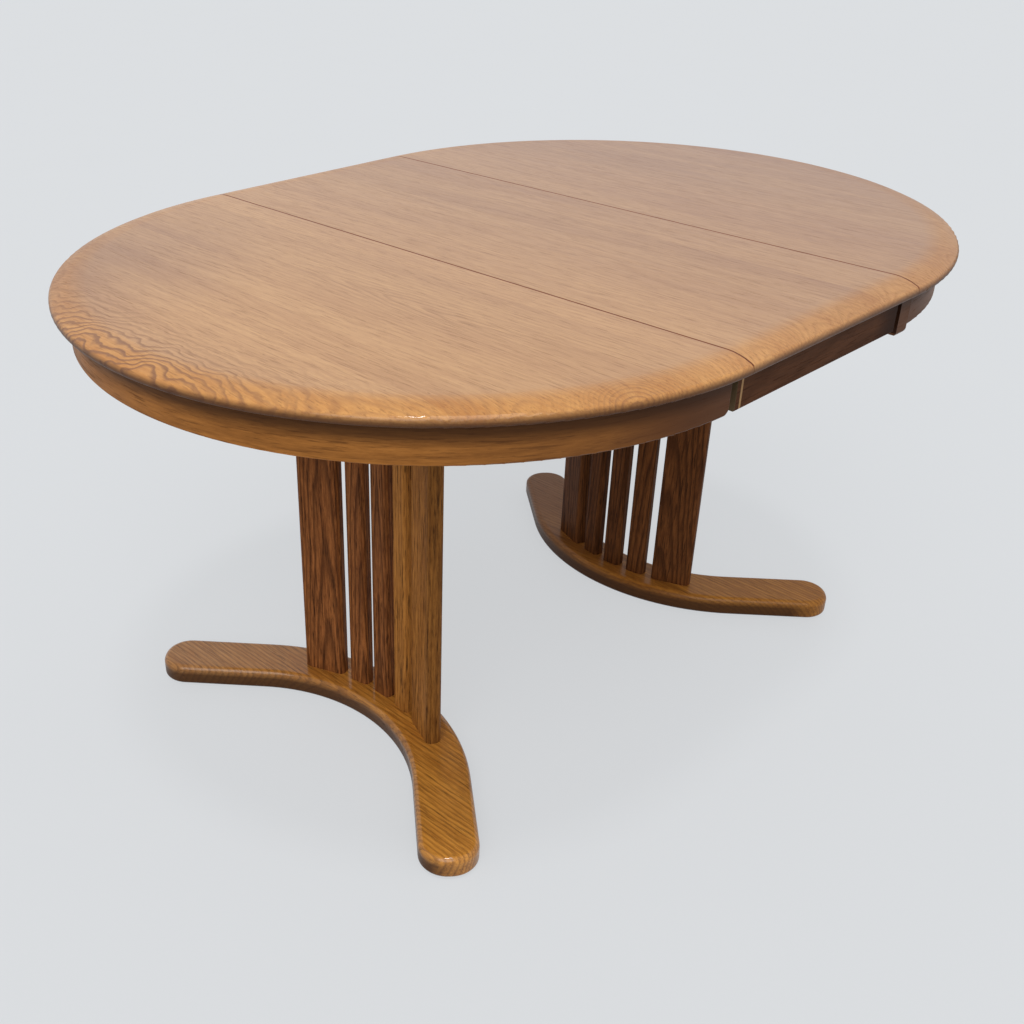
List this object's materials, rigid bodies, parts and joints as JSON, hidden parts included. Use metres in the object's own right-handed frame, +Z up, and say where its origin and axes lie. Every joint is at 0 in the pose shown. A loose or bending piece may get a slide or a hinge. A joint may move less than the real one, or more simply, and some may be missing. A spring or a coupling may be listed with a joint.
{
  "type": "extension_table",
  "caption": "Oval wooden extension dining table: round split top with a loose centre leaf, curved aprons, and an arched trestle with boards and slats under each end.",
  "frame": {"origin": "on the floor, under the middle of the leaf", "axes": "+X along the table from the near end to the far end, +Y from the front to the back, +Z up"},
  "size_m": [1.4512, 1.05, 0.74],
  "materials": {
    "top_wood": "satin lacquer",
    "apron_wood": "satin lacquer",
    "post_wood": "satin lacquer",
    "foot_wood": "satin lacquer",
    "plain_wood": "unfinished",
    "steel": "zinc plated",
    "glide_plastic": "matte"
  },
  "bodies": {
    "near_half": {"near_apron": "apron_wood", "near_apron_block": "apron_wood", "near_bearer": "plain_wood", "near_bearer_screws": "steel", "near_board_back": "post_wood", "near_board_front": "post_wood", "near_dowels": "plain_wood", "near_foot": "foot_wood", "near_glides": "glide_plastic", "near_glue_blocks": "plain_wood", "near_latch_studs": "steel", "near_pins": "plain_wood", "near_runner_back": "plain_wood", "near_runner_front": "plain_wood", "near_runner_screws": "steel", "near_slat_back": "post_wood", "near_slat_front": "post_wood", "near_slat_middle": "post_wood", "near_top": "top_wood"},
    "far_half": {"far_apron": "apron_wood", "far_apron_block": "apron_wood", "far_bearer": "plain_wood", "far_bearer_screws": "steel", "far_board_back": "post_wood", "far_board_front": "post_wood", "far_dowels": "plain_wood", "far_foot": "foot_wood", "far_glides": "glide_plastic", "far_glue_blocks": "plain_wood", "far_latch_studs": "steel", "far_pins": "plain_wood", "far_runner_back": "plain_wood", "far_runner_front": "plain_wood", "far_runner_screws": "steel", "far_slat_back": "post_wood", "far_slat_front": "post_wood", "far_slat_middle": "post_wood", "far_top": "top_wood"},
    "middle_runners": {"middle_runner_back": "plain_wood", "middle_runner_front": "plain_wood"},
    "leaf": {"leaf_apron_back": "apron_wood", "leaf_apron_front": "apron_wood", "leaf_batten_screws": "steel", "leaf_battens": "plain_wood", "leaf_glue_blocks": "plain_wood", "leaf_keepers": "steel", "leaf_top": "top_wood"},
    "near_front_lever": {"near_latch_front": "steel"},
    "near_back_lever": {"near_latch_back": "steel"},
    "far_back_lever": {"far_latch_back": "steel"},
    "far_front_lever": {"far_latch_front": "steel"}
  },
  "joints": [
    {"name": "far_end_pull", "type": "slide", "parent": "near_half", "child": "far_half", "axis": [1, 0, 0], "range_m": [0, 0.1]},
    {"name": "middle_runner_slide", "type": "slide", "parent": "near_half", "child": "middle_runners", "axis": [1, 0, 0], "range_m": [0, 0.05]},
    {"name": "leaf_lift", "type": "slide", "parent": "near_half", "child": "leaf", "axis": [0, 0, 1], "range_m": [0, 0.15]},
    {"name": "near_front_latch", "type": "hinge", "parent": "near_half", "child": "near_front_lever", "pos_m": [-0.2257, -0.335, 0.7071], "axis": [0, 0, 1], "range_deg": [0, 90]},
    {"name": "near_back_latch", "type": "hinge", "parent": "near_half", "child": "near_back_lever", "pos_m": [-0.2257, 0.335, 0.7071], "axis": [0, 0, -1], "range_deg": [0, 90]},
    {"name": "far_front_latch", "type": "hinge", "parent": "far_half", "child": "far_front_lever", "pos_m": [0.2257, -0.335, 0.7071], "axis": [0, 0, -1], "range_deg": [0, 90]},
    {"name": "far_back_latch", "type": "hinge", "parent": "far_half", "child": "far_back_lever", "pos_m": [0.2257, 0.335, 0.7071], "axis": [0, 0, 1], "range_deg": [0, 90]}
  ],
  "couplings": [
    {"joint": "middle_runner_slide", "follows": "far_end_pull", "ratio": 0.5}
  ]
}
